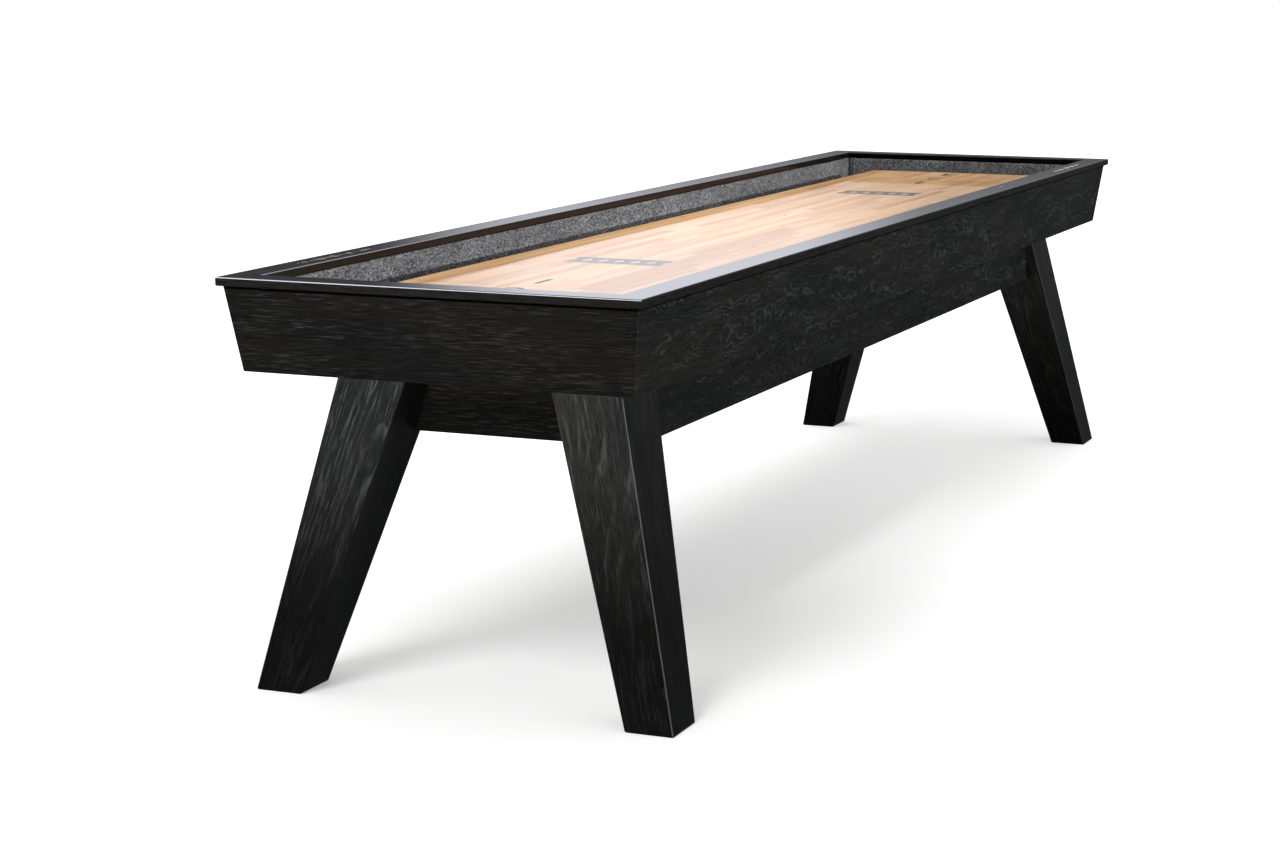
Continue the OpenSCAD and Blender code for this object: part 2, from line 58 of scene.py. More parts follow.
class Graph:
    """Short ways to add and join shader nodes."""

    def __init__(self, owner):
        self.owner = owner
        owner.use_nodes = True
        self.tree = owner.node_tree

    def put(self, target, value):
        if isinstance(value, bpy.types.NodeSocket):
            self.tree.links.new(value, target)
        else:
            target.default_value = value

    def add(self, kind, inputs=None, output=0, **settings):
        made = self.tree.nodes.new(kind)
        for key, value in settings.items():
            setattr(made, key, value)
        for key, value in (inputs or {}).items():
            self.put(made.inputs[key], value)
        return made.outputs[output]

    def math(self, operation, a, b=0.0):
        return self.add("ShaderNodeMath", {0: a, 1: b}, operation=operation)

    def sum(self, a, b):
        return self.math("ADD", a, b)

    def times(self, a, b):
        return self.math("MULTIPLY", a, b)

    def scaled(self, vector, factors):
        return self.add("ShaderNodeVectorMath", {0: vector, 1: factors}, operation="MULTIPLY")

    def shifted(self, vector, offset):
        return self.add("ShaderNodeVectorMath", {0: vector, 1: offset}, operation="ADD")

    def point(self, x=0.0, y=0.0, z=0.0):
        return self.add("ShaderNodeCombineXYZ", {0: x, 1: y, 2: z})

    def parts(self, vector):
        made = self.tree.nodes.new("ShaderNodeSeparateXYZ")
        self.put(made.inputs[0], vector)
        return made.outputs

    def noise(self, vector, scale=1.0, detail=2.0, rough=0.5, warp=0.0):
        inputs = {"Vector": vector, "Scale": scale, "Detail": detail}
        inputs.update({"Roughness": rough, "Distortion": warp})
        return self.add("ShaderNodeTexNoise", inputs)

    def hash(self, vector):
        return self.add("ShaderNodeTexWhiteNoise", {"Vector": vector}, noise_dimensions="3D")

    def span(self, value, low, high, to_low=0.0, to_high=1.0):
        """value's stretch from low to high becomes to_low to to_high, with soft ends."""
        inputs = {"Value": value, "From Min": low, "From Max": high}
        inputs.update({"To Min": to_low, "To Max": to_high})
        return self.add("ShaderNodeMapRange", inputs, interpolation_type="SMOOTHSTEP")

    def window(self, value, start, full, fade, end):
        """1 while value is between full and fade, 0 below start and above end."""
        return self.times(self.span(value, start, full), self.span(value, fade, end, 1.0, 0.0))

    def mix(self, share, a, b):
        """Colour a, with a share of colour b over it."""
        made = self.tree.nodes.new("ShaderNodeMix")
        made.data_type = "RGBA"
        for index, value in ((0, share), (6, a), (7, b)):
            if isinstance(value, (tuple, list)):
                value = (*value, 1.0)
            self.put(made.inputs[index], value)
        return made.outputs[2]

    def bump(self, height, distance, strength=0.5):
        inputs = {"Height": height, "Distance": distance, "Strength": strength}
        return self.add("ShaderNodeBump", inputs)

    def finish(self, **sockets):
        """Sets the shader's inputs, named with _ for a space, and gives the material."""
        shader = self.tree.nodes["Principled BSDF"]
        for key, value in sockets.items():
            if isinstance(value, tuple):
                value = (*value, 1.0)
            self.put(shader.inputs[key.replace("_", " ")], value)
        return self.owner


def material_graph(name):
    return Graph(bpy.data.materials.new(name))


def board_point(g):
    """A point of a board, along, across and through it from its middle, and the board's own number."""
    grain = g.add("ShaderNodeAttribute", output="Vector", attribute_name="grain")
    number = g.add("ShaderNodeAttribute", output="Fac", attribute_name="board")
    return grain, number


def object_point(g):
    return g.add("ShaderNodeTexCoord", output="Object")


def growth_rings(g, p, number, pitch, curl=0.0):
    """Place between two growth rings, 0 to 1: arches around a board's middle, straight lines beside."""
    along, across, through = g.parts(p)
    own = g.shifted(p, g.point(g.times(number, 7.3), g.times(number, 1.9), 0.0))
    drift = g.noise(g.scaled(own, (0.7, 0.0, 0.0)), detail=1.0)
    depth = g.noise(g.scaled(own, (0.55, 0.0, 3.0)), detail=2.0, rough=0.4)
    wobble = g.noise(g.scaled(own, (3.2, 13.0, 13.0)), detail=2.0, rough=0.5)
    side = g.sum(across, g.times(g.math("SUBTRACT", drift, 0.5), 0.10))
    deep = g.sum(g.times(depth, 0.17), g.sum(through, -0.045))
    radius = g.add("ShaderNodeVectorMath", {0: g.point(side, deep)}, "Value", operation="LENGTH")
    radius = g.sum(radius, g.times(wobble, 0.020))
    swirl = g.noise(g.scaled(own, (11.0, 24.0, 24.0)), detail=2.0, rough=0.5)
    radius = g.sum(radius, g.times(swirl, curl))
    return g.math("FRACT", g.times(radius, 1 / pitch))


# ---------------------------------------------------------------- materials


def stained_wood(
    name, ground, light, lines, fibres, fineness, roughness, shine,
    relief=0.2, slender=26.0, pitch=6.5 * MM, curl=0.0,
):
    """Wood under black stain: ring lines, short pale fibres and pores, with clouds of thinner stain."""
    g = material_graph(name)
    p, number = board_point(g)
    own = g.shifted(p, g.point(g.times(number, 3.71), g.times(number, 0.53), 0.0))
    ring = growth_rings(g, p, number, pitch, curl)
    line = g.window(ring, 0.55, 0.9, 0.93, 0.99)
    broken = g.span(g.noise(g.scaled(own, (6.0, 40.0, 40.0)), detail=2.0), 0.42, 0.62)
    fibre = g.scaled(own, (fineness / slender, fineness, fineness))
    fibre = g.noise(fibre, detail=3.0, rough=0.62)
    fine = g.noise(g.scaled(own, (22.0, 800.0, 800.0)), detail=1.0)
    streaks = g.span(fibre, 0.52, 0.66)
    pores = g.span(fine, 0.52, 0.64)
    cloud = g.span(g.noise(g.scaled(own, (1.6, 9.0, 9.0)), detail=3.0), 0.32, 0.68)
    patch = g.span(g.noise(g.scaled(own, (3.4, 30.0, 30.0)), detail=2.0), 0.35, 0.65)
    lines = g.times(g.times(line, broken), lines)
    share = g.times(g.times(streaks, g.sum(g.times(patch, 0.6), 0.3)), fibres)
    share = g.math("MAXIMUM", share, lines)
    warm = tuple(c * t for c, t in zip(ground, (1.75, 1.6, 1.4)))
    colour = g.mix(g.times(cloud, 0.7), ground, warm)
    colour = g.mix(share, colour, light)
    colour = g.mix(g.times(pores, 0.7), colour, tuple(c * 0.25 for c in ground))
    height = g.sum(g.times(line, 0.45), g.times(pores, -1.0))
    normal = g.bump(g.sum(height, g.times(fibre, 0.7)), relief * MM)
    return g.finish(
        Base_Color=colour,
        Roughness=g.sum(g.times(fibre, 0.16), roughness - 0.08),
        Normal=normal,
        IOR=1.46,
        Specular_IOR_Level=shine,
    )


def stain_under_rails(material):
    """Painted shade: a thin band along a panel's top, just under the rail's overhang, is mixed to black as if
    in the rail's shadow.
    """
    g = Graph(material)
    colour = g.tree.nodes["Principled BSDF"].inputs["Base Color"].links[0].from_socket
    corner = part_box("front_top_rail")[0].z
    z = g.parts(object_point(g))[2]
    # painted shade: black over the panel's top few millimetres, under the rail
    painted_shade = g.span(z, corner - 6.5 * MM, corner - 4.0 * MM)
    g.finish(Base_Color=g.mix(painted_shade, colour, (0.0, 0.0, 0.0)))


def waxed(material):
    """A thin coat of wax over stained wood."""
    return Graph(material).finish(Coat_Weight=0.2, Coat_IOR=1.4, Coat_Roughness=0.16)


def lacquered_wood(name, ground, light):
    """Stained wood under lacquer whose coat weight grows as a face turns up; on the end rails' inner faces it
    is cut to 0.15, a painted dimming of their reflections.
    """
    wood = stained_wood(
        name, ground, light,
        lines=0.2, fibres=0.5, fineness=300.0, roughness=0.45, shine=0.0, relief=0.03,
    )
    g = Graph(wood)
    facing = g.parts(g.add("ShaderNodeNewGeometry", output="Normal"))
    x = g.parts(object_point(g))[0]
    upward = g.span(facing[2], 0.10, 0.45, 0.35, 0.80)
    # painted dimming of reflections: the coat is cut on the end rails' inner faces
    dimmed_inside_ends = g.span(g.times(x, facing[0]), -0.6, -0.1, 0.15, 1.0)
    wave = g.noise(object_point(g), scale=14.0)
    return g.finish(
        Coat_Weight=g.times(upward, dimmed_inside_ends),
        Coat_IOR=1.45,
        Coat_Roughness=0.063,
        Coat_Normal=g.bump(wave, 0.05 * MM),
    )


STRIP_W = 25.4 * MM
STAVE_L = 620 * MM
# Length and number of the scoring zones at each end
ZONE = 152.4 * MM
ZONES = 3


def maple_block(name, field_end, field_top):
    """Maple strips glued side by side, zone lines and end bands printed on top, a thick gloss coat."""
    g = material_graph(name)
    p = object_point(g)
    x, y, z = g.parts(p)
    strip = g.math("FLOOR", g.times(y, 1 / STRIP_W))
    shift = g.hash(g.point(strip, 7.0, 1.0))
    staves = g.sum(g.times(x, 1 / STAVE_L), g.times(shift, 9.0))
    stave = g.math("FLOOR", staves)
    tone = g.hash(g.point(strip, stave, 3.0))
    warm = g.hash(g.point(strip, stave, 11.0))
    own = g.shifted(p, g.point(g.times(tone, 31.0), g.times(warm, 17.0), strip))
    figure = g.noise(g.scaled(own, (1.7, 26.0, 26.0)), detail=3.0, rough=0.55, warp=0.6)
    fine = g.noise(g.scaled(own, (7.0, 420.0, 120.0)), detail=3.0)
    fleck = g.noise(g.scaled(own, (60.0, 600.0, 200.0)), detail=1.0)
    colour = g.mix(g.span(tone, 0.0, 1.0), (0.60, 0.388, 0.205), (0.515, 0.298, 0.138))
    colour = g.mix(g.times(g.span(warm, 0.72, 1.0), 0.6), colour, (0.425, 0.195, 0.067))
    colour = g.mix(g.times(g.span(figure, 0.50, 0.72), 0.5), colour, (0.38, 0.167, 0.055))
    colour = g.mix(g.times(g.span(figure, 0.48, 0.28), 0.5), colour, (0.71, 0.48, 0.27))
    colour = g.mix(g.times(g.span(fine, 0.5, 0.75), 0.35), colour, (0.40, 0.19, 0.07))
    knots = g.span(g.noise(g.scaled(own, (9.0, 60.0, 20.0)), detail=2.0), 0.74, 0.80)
    colour = g.mix(g.times(knots, 0.85), colour, (0.09, 0.035, 0.015))
    colour = g.mix(g.times(g.span(fleck, 0.62, 0.75), 0.25), colour, (0.35, 0.17, 0.07))
    seam = g.span(g.math("PINGPONG", g.times(y, 1 / STRIP_W), 0.5), 0.0, 0.02, 0.55, 0.0)
    butt = g.span(g.math("PINGPONG", staves, 0.5), 0.0, 0.0012, 0.5, 0.0)
    colour = g.mix(g.math("MAXIMUM", seam, butt), colour, (0.25, 0.11, 0.04))

    from_end = g.math("SUBTRACT", field_end, g.math("ABSOLUTE", x))
    ink = (0.035, 0.045, 0.06)
    on_top = g.span(z, field_top - 1.0 * MM, field_top - 0.5 * MM)
    for number in range(1, ZONES):
        off = g.math("ABSOLUTE", g.math("SUBTRACT", from_end, number * ZONE))
        line = g.span(off, 0.9 * MM, 1.3 * MM, 0.75, 0.0)
        colour = g.mix(g.times(line, on_top), colour, ink)
    colour = g.mix(g.times(g.times(end_band(g, x, y), 0.9), on_top), colour, ink)

    wave = g.noise(g.scaled(p, (2.5, 9.0, 2.0)), detail=1.0)
    rough = g.sum(g.times(g.noise(p, scale=30.0, detail=3.0), 0.06), 0.30)
    return g.finish(
        Base_Color=colour,
        Roughness=rough,
        Normal=g.bump(fine, 0.05 * MM),
        IOR=1.5,
        Specular_IOR_Level=0.0,
        Coat_Weight=0.6,
        Coat_Roughness=0.035,
        Coat_IOR=1.5,
        Coat_Normal=g.bump(wave, 0.35 * MM, 0.6),
    )


# The printed bands: place, half of the bar's length and width, its diamonds, and the rule beside it
BAND_X = 914 * MM
BAND_HALF = (48 * MM, 107 * MM)
DIAMOND_HALF = (24 * MM, 11 * MM)
DIAMOND_PITCH = 36 * MM
RULE_GAP = 9 * MM
RULE_HALF = 1.5 * MM


def end_band(g, x, y):
    """Share of ink in the two printed bands: a bar with bare diamonds in a row, and a thin rule."""
    off = g.math("SUBTRACT", g.math("ABSOLUTE", x), BAND_X)
    in_x = g.math("LESS_THAN", g.math("ABSOLUTE", off), BAND_HALF[0])
    in_y = g.math("LESS_THAN", g.math("ABSOLUTE", y), BAND_HALF[1])
    half = DIAMOND_PITCH / 2
    local = g.math("PINGPONG", g.sum(y, 11 * half), half)
    local = g.math("ABSOLUTE", g.math("SUBTRACT", local, half))
    reach = g.sum(
        g.times(local, 1 / DIAMOND_HALF[1]),
        g.times(g.math("ABSOLUTE", off), 1 / DIAMOND_HALF[0]),
    )
    bare = g.math("LESS_THAN", reach, 1.0)
    bar = g.times(g.times(in_x, in_y), g.math("SUBTRACT", 1.0, g.times(bare, 0.8)))
    rule_off = g.math("SUBTRACT", off, BAND_HALF[0] + RULE_GAP)
    rule = g.math("LESS_THAN", g.math("ABSOLUTE", rule_off), RULE_HALF)
    return g.math("MAXIMUM", bar, g.times(rule, in_y))


def felt(name, dark, light, stretch=(1.0, 1.0, 1.0)):
    """Marled charcoal felt: pale fibres curl over a dark ground."""
    g = material_graph(name)
    p = g.scaled(object_point(g), stretch)
    curl = g.noise(p, scale=120.0, detail=3.0, rough=0.6, warp=2.6)
    curls = g.span(curl, 0.42, 0.66)
    hair = g.noise(p, scale=420.0, detail=2.0, rough=0.6, warp=1.5)
    hairs = g.span(hair, 0.42, 0.70)
    patch = g.span(g.noise(p, scale=14.0, detail=2.0), 0.3, 0.7)
    share = g.sum(g.times(curls, 0.6), g.times(hairs, 0.4))
    colour = g.mix(g.times(share, g.sum(g.times(patch, 0.35), 0.75)), dark, light)
    normal = g.bump(g.sum(curls, g.times(hair, 0.9)), 1.2 * MM, 0.75)
    return g.finish(
        Base_Color=colour,
        Roughness=0.95,
        Normal=normal,
        Sheen_Weight=0.15,
        Sheen_Roughness=0.5,
        Specular_IOR_Level=0.0,
    )


PLY_T = 1.6 * MM


def plywood(name):
    """Bare plywood: pale faces with long grain, dark and light plies along the edges."""
    g = material_graph(name)
    p, number = board_point(g)
    through = g.parts(p)[2]
    ring = growth_rings(g, p, number, 11.0 * MM)
    figure = g.window(ring, 0.2, 0.85, 0.88, 0.99)
    fibre = g.noise(g.scaled(p, (9.0, 420.0, 420.0)), detail=3.0)
    colour = g.mix(g.times(figure, 0.6), (0.56, 0.41, 0.25), (0.40, 0.25, 0.12))
    colour = g.mix(g.times(g.span(fibre, 0.45, 0.7), 0.4), colour, (0.30, 0.18, 0.09))
    ply = g.math("PINGPONG", g.times(through, 1 / PLY_T), 1.0)
    edge = g.add("ShaderNodeAttribute", output="Fac", attribute_name="edge")
    shade = g.times(g.span(ply, 0.35, 0.65), 0.5)
    colour = g.mix(g.times(shade, edge), colour, (0.20, 0.11, 0.05))
    return g.finish(
        Base_Color=colour,
        Roughness=g.sum(g.times(fibre, 0.2), 0.62),
        Normal=g.bump(fibre, 0.2 * MM),
    )


def bare_hardwood(name):
    g = material_graph(name)
    p = object_point(g)
    fibre = g.noise(p, scale=160.0, detail=3.0)
    ridge = g.noise(p, scale=700.0, detail=1.0)
    colour = g.mix(g.span(fibre, 0.35, 0.65), (0.62, 0.45, 0.27), (0.45, 0.29, 0.15))
    return g.finish(Base_Color=colour, Roughness=0.6, Normal=g.bump(ridge, 0.15 * MM))


def metal(name, colour, roughness, wear):
    """Plated or solid metal with handling marks: patches of duller surface and fine scratches."""
    g = material_graph(name)
    p = object_point(g)
    patch = g.span(g.noise(p, scale=60.0, detail=4.0), 0.35, 0.7)
    scratch = g.noise(g.scaled(p, (900.0, 90.0, 900.0)), detail=2.0)
    tint = g.mix(g.times(patch, wear), colour, tuple(c * 0.62 for c in colour))
    rough = g.sum(g.times(patch, 0.18), g.sum(g.times(scratch, 0.10), roughness))
    return g.finish(
        Base_Color=tint,
        Metallic=1.0,
        Roughness=rough,
        Normal=g.bump(scratch, 0.03 * MM),
    )


def powder_coat(name, colour):
    g = material_graph(name)
    p = object_point(g)
    peel = g.noise(p, scale=900.0)
    dust = g.span(g.noise(p, scale=70.0, detail=4.0), 0.45, 0.75)
    tint = g.mix(g.times(dust, 0.3), colour, tuple(c * 2.2 for c in colour))
    return g.finish(
        Base_Color=tint,
        Roughness=g.sum(g.times(dust, 0.15), 0.42),
        Normal=g.bump(peel, 0.12 * MM, 0.6),
    )


def nylon(name):
    g = material_graph(name)
    p = object_point(g)
    grit = g.noise(p, scale=1400.0)
    scuff = g.span(g.noise(p, scale=120.0, detail=4.0), 0.5, 0.75)
    colour = g.mix(g.times(scuff, 0.5), (0.02, 0.02, 0.022), (0.07, 0.07, 0.07))
    return g.finish(Base_Color=colour, Roughness=0.6, Normal=g.bump(grit, 0.15 * MM, 0.6))


def ink_under_coat(name):
    """The ink of the numerals, under the same gloss coat as the playfield."""
    g = material_graph(name)
    p = object_point(g)
    worn = g.span(g.noise(p, scale=220.0, detail=3.0), 0.35, 0.7)
    colour = g.mix(g.times(worn, 0.3), (0.03, 0.038, 0.05), (0.10, 0.10, 0.11))
    return g.finish(
        Base_Color=colour,
        Roughness=0.4,
        IOR=1.5,
        Specular_IOR_Level=0.0,
        Coat_Weight=0.45,
        Coat_Roughness=0.035,
    )


playfield_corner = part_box("playfield")[1]

# The end boards' stain is a darker copy of the side stain: painted shade for the end faces, which get less
# light. The grain pattern is the end boards' own.
SHADED_END_WOOD = stained_wood(
    "black_stained_end_shaded", (0.0009, 0.0009, 0.00087), (0.0072, 0.0071, 0.0069),
    lines=0.05, fibres=0.75, fineness=400.0, roughness=0.5, shine=0.03, slender=15.0,
)
SIDE_WOOD = stained_wood(
    "black_stained_side", (0.0030, 0.0033, 0.0031), (0.019, 0.0200, 0.0193),
    lines=0.75, fibres=0.35, fineness=330.0, roughness=0.5, shine=0.03, pitch=10.0 * MM, curl=0.06,
)
LEG_WOOD = stained_wood(
    "black_stained_leg", (0.0036, 0.0038, 0.0038), (0.026, 0.0265, 0.026),
    lines=0.45, fibres=0.62, fineness=300.0, roughness=0.38, shine=0.02, slender=34.0,
)
# Painted shade under the rails' overhang, along the top of the end and side panels
stain_under_rails(SHADED_END_WOOD)
stain_under_rails(SIDE_WOOD)
waxed(LEG_WOOD)
SIDE_RAIL_WOOD = lacquered_wood(
    "black_lacquered_side_rail", (0.0042, 0.0042, 0.0044), (0.0095, 0.0095, 0.010)
)
# The end rails' lacquered wood is a darker copy of the side rails': painted shade for the near end rail's
# dark face, shared by the far end rail.
SHADED_END_RAIL_WOOD = lacquered_wood(
    "black_lacquered_end_rail_shaded", (0.0013, 0.0013, 0.0013), (0.0032, 0.0032, 0.0033)
)
MAPLE = maple_block("maple_block", playfield_corner.x, playfield_corner.z)
PLY = plywood("bare_plywood")
DOWEL = bare_hardwood("bare_hardwood")
SIDE_FELT = felt("side_felt", (0.010, 0.010, 0.0105), (0.30, 0.305, 0.32), (0.38, 1.0, 1.0))
END_FELT = felt("end_felt", (0.010, 0.010, 0.0105), (0.29, 0.295, 0.305))
CARPET = felt("gutter_carpet", (0.012, 0.012, 0.013), (0.25, 0.25, 0.255))
BRASS = metal("satin_brass", (0.70, 0.50, 0.24), 0.15, 0.4)
ZINC = metal("zinc_plate", (0.62, 0.63, 0.66), 0.24, 0.35)
BLACK_STEEL = powder_coat("black_powder_coat", (0.022, 0.022, 0.024))
NYLON = nylon("black_nylon")
INK = ink_under_coat("numeral_ink")


# ---------------------------------------------------------------- meshes


def new_piece(name, bm, material, body, smooth=True):
    """Makes an object of a bmesh, gives it its material and slot and lets it ride on a body."""
    mesh = bpy.data.meshes.new(name)
    bm.to_mesh(mesh)
    bm.free()
    mesh.materials.append(material)
    if smooth:
        mesh.shade_smooth()
    made = bpy.data.objects.new(name, mesh)
    bpy.context.scene.collection.objects.link(made)
    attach(made, body)
    return made


SHARP = math.radians(40)
FLAT = math.radians(0.2)
EASED_ANGLE = math.radians(35)
EASED_L = 14 * MM
board_numbers = itertools.count(1)


def even_normals(piece):
    """Keeps wide faces flat while the narrow rounds between them shade smoothly."""
    piece.data.set_sharp_from_angle(angle=SHARP)
    weighted = piece.modifiers.new("even_normals", "WEIGHTED_NORMAL")
    weighted.weight = 100
    weighted.keep_sharp = True


def cad_copy(node):
    """The mesh of a CAD node with its doubles joined and its flat faces whole again."""
    bm = bmesh.new()
    bm.from_mesh(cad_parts[node].data)
    bmesh.ops.remove_doubles(bm, verts=bm.verts, dist=0.01 * MM)
    bmesh.ops.dissolve_limit(bm, angle_limit=FLAT, verts=bm.verts, edges=bm.edges)
    return bm


def ease_edges(bm, radius):
    """Rounds the long sharp edges of a board."""

    def long_and_sharp(edge):
        joined = len(edge.link_faces) == 2
        return joined and edge.calc_length() > EASED_L and edge.calc_face_angle() > EASED_ANGLE

    bmesh.ops.bevel(
        bm, geom=[e for e in bm.edges if long_and_sharp(e)], offset=radius, offset_type="OFFSET",
        segments=3, profile=0.5, affect="EDGES", clamp_overlap=True,
    )


def set_grain(mesh, along, across):
    """Stores each point's place in its board and the board's number, so that the figure follows the board."""
    along = along.normalized()
    through = along.cross(across).normalized()
    across = through.cross(along)
    board_number = next(board_numbers)
    low = Vector([min(v.co[i] for v in mesh.vertices) for i in range(3)])
    high = Vector([max(v.co[i] for v in mesh.vertices) for i in range(3)])
    mesh.attributes.new("grain", "FLOAT_VECTOR", "POINT")
    mesh.attributes.new("board", "FLOAT", "POINT")
    mesh.attributes.new("edge", "FLOAT", "FACE")
    grain, number, edge = (mesh.attributes[name] for name in ("grain", "board", "edge"))
    for i, vertex in enumerate(mesh.vertices):
        p = vertex.co - (low + high) / 2
        grain.data[i].vector = (p.dot(along), p.dot(across), p.dot(through))
        number.data[i].value = board_number
    for i, face in enumerate(mesh.polygons):
        edge.data[i].value = 1.0 if abs(face.normal.dot(through)) < 0.7 else 0.0


def board(node, along, across, material, ease):
    """A wooden board that stands for its CAD node: same faces, eased edges, its own grain."""
    bm = cad_copy(node)
    ease_edges(bm, ease)
    made = new_piece(node + "_board", bm, material, "table")
    set_grain(made.data, along, across)
    even_normals(made)
    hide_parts(node)


# Outer panels, aprons and rails
PANEL_EASE, RAIL_EASE, LEG_EASE = 1.4 * MM, 0.9 * MM, 4.0 * MM
for side in SIDES:
    board(side + "_panel", X, Z, SIDE_WOOD, PANEL_EASE)
    board(side + "_apron", X, Z, SIDE_WOOD, PANEL_EASE)
    board(side + "_top_rail", X, Y, SIDE_RAIL_WOOD, RAIL_EASE)
for end in ENDS:
    board(end + "_end_panel", Y, Z, SHADED_END_WOOD, PANEL_EASE)
    board(end + "_end_apron", Y, Z, SHADED_END_WOOD, PANEL_EASE)
    board(end + "_top_rail", Y, X, SHADED_END_RAIL_WOOD, RAIL_EASE)

# Legs: the grain runs from the foot to the top, which stands further in
LEG_SLOPE = (0.19, 0.27)
for corner in CORNERS:
    sx = 1 if "right" in corner else -1
    sy = 1 if "back" in corner else -1
    lean = Vector((-sx * LEG_SLOPE[0], -sy * LEG_SLOPE[1], 1.0))
    board(corner + "_leg", lean, X, LEG_WOOD, LEG_EASE)

# Hidden woodwork, with sawn edges
for side in SIDES:
    board(side + "_gutter_wall", X, Z, PLY, 0.6 * MM)
    board(side + "_cradle_runner", X, Z, PLY, 1.0 * MM)
for end in ENDS:
    board(end + "_gutter_wall", Y, Z, PLY, 0.6 * MM)
board("cabinet_floor", X, Y, PLY, 0.8 * MM)
board("cradle_bearers", Y, X, PLY, 1.0 * MM)
board("rail_battens", X, Y, PLY, 0.6 * MM)


def playfield():
    bm = cad_copy("playfield")
    ease_edges(bm, 2.0 * MM)
    made = new_piece("playfield_block", bm, MAPLE, "table")
    even_normals(made)
    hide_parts("playfield")


playfield()


# ---------------------------------------------------------------- felt and carpet


NAP_DEPTH, NAP_UNEVEN, NAP_EDGE = 0.5 * MM, 0.45 * MM, 0.9 * MM
NAP_PER_METRE = 70
CELL_LONG, CELL_SHORT = 14 * MM, 7 * MM


def cloth_sheet(name, node, normal, material):
    """A felt sheet in the box of its CAD node. Its open face is a fine grid with a soft, uneven nap."""
    low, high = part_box(node)
    size = high - low
    thin = max(range(3), key=lambda i: abs(normal[i]))
    wide = [i for i in range(3) if i != thin]
    step = (CELL_LONG, CELL_SHORT) if size[wide[0]] > size[wide[1]] else (CELL_SHORT, CELL_LONG)
    counts = [max(2, round(size[i] / s)) for i, s in zip(wide, step)]
    face_at = high[thin] if normal[thin] > 0 else low[thin]
    back_at = low[thin] if normal[thin] > 0 else high[thin]
    bm = bmesh.new()

    def grid(level, rough):
        rows = []
        for i in range(counts[0] + 1):
            row = []
            for j in range(counts[1] + 1):
                p = Vector((0, 0, 0))
                p[wide[0]] = low[wide[0]] + size[wide[0]] * i / counts[0]
                p[wide[1]] = low[wide[1]] + size[wide[1]] * j / counts[1]
                inner = 0 < i < counts[0] and 0 < j < counts[1]
                nap = NAP_DEPTH + NAP_UNEVEN * noise.noise(p * NAP_PER_METRE)
                drop = nap if inner else NAP_EDGE
                p[thin] = level - normal[thin] * (drop if rough else 0.0)
                row.append(bm.verts.new(p))
            rows.append(row)
        return rows

    top, bottom = grid(face_at, True), grid(back_at, False)
    for rows in (top, bottom):
        for i in range(counts[0]):
            for j in range(counts[1]):
                bm.faces.new((rows[i][j], rows[i + 1][j], rows[i + 1][j + 1], rows[i][j + 1]))
    for i in range(counts[0]):
        for j in (0, counts[1]):
            bm.faces.new((top[i][j], top[i + 1][j], bottom[i + 1][j], bottom[i][j]))
    for j in range(counts[1]):
        for i in (0, counts[0]):
            bm.faces.new((top[i][j], top[i][j + 1], bottom[i][j + 1], bottom[i][j]))
    bmesh.ops.recalc_face_normals(bm, faces=bm.faces)
    made = new_piece(name, bm, material, "table")
    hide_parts(node)


for where, axis in (("front", Y), ("back", -Y), ("left", X), ("right", -X)):
    finish = SIDE_FELT if where in SIDES else END_FELT
    cloth_sheet(
        where + "_felt_sheet", where + "_wall_felt", axis, finish,
    )
    cloth_sheet(
        where + "_carpet_sheet", where + "_gutter_carpet", Z, CARPET,
    )


# ---------------------------------------------------------------- numerals


NUMERAL_H = 78 * MM
# A digit's height as a share of the font's size
DIGIT_SHARE = 0.69
INK_T = 0.12 * MM


def numeral(name, digit, x, up):
    """A flat printed digit on the playfield whose top points along up."""
    text = bpy.data.curves.new(name + "_text", "FONT")
    text.body = digit
    text.align_x, text.align_y = "CENTER", "CENTER"
    text.size = NUMERAL_H / DIGIT_SHARE
    text.extrude = INK_T / 2
    text.resolution_u = 8
    source = bpy.data.objects.new(name + "_text", text)
    bpy.context.scene.collection.objects.link(source)
    bpy.context.view_layer.update()
    mesh = bpy.data.meshes.new_from_object(source)
    bpy.data.objects.remove(source)
    right = up.cross(Z)
    turn = Matrix((right, up, Z)).transposed().to_4x4()
    centre = Vector((x, 0, playfield_corner.z + INK_T / 2))
    mesh.transform(Matrix.Translation(centre) @ turn)
    bm = bmesh.new()
    bm.from_mesh(mesh)
    bpy.data.meshes.remove(mesh)
    bmesh.ops.remove_doubles(bm, verts=bm.verts, dist=0.001 * MM)
    new_piece(name, bm, INK, "table", smooth=False)


# Each digit stands in the middle of its zone, the highest one in the zone along the end
for end, sign in (("left", -1), ("right", 1)):
    for digit in range(1, ZONES + 1):
        place = sign * (playfield_corner.x - (ZONES + 0.5 - digit) * ZONE)
        numeral(f"{end}_zone_{digit}", str(digit), place, -sign * X)


# ---------------------------------------------------------------- finishes of the other nodes


def paint(nodes, material):
    for node in nodes:
        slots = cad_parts[node].data.materials
        slots.clear()
        slots.append(material)


paint([side + "_rail_inlay" for side in SIDES], BRASS)
paint(
    ["rail_screws", "playfield_bolts", "adjuster_bracket_screws", "adjuster_rods"]
    + ["adjuster_nuts", "apron_bracket_screws", "leg_studs", "leg_washers", "leg_nuts"]
    + ["leveller_inserts"] + [corner + "_stem" for corner in CORNERS],
    ZINC,
)
paint(
    ["adjuster_brackets", "apron_brackets"]
    + [where + "_turnbuckle" for where in ("left", "middle", "right")],
    BLACK_STEEL,
)
paint([corner + "_pad" for corner in CORNERS], NYLON)
paint(["apron_dowels"], DOWEL)


# ---------------------------------------------------------------- studio


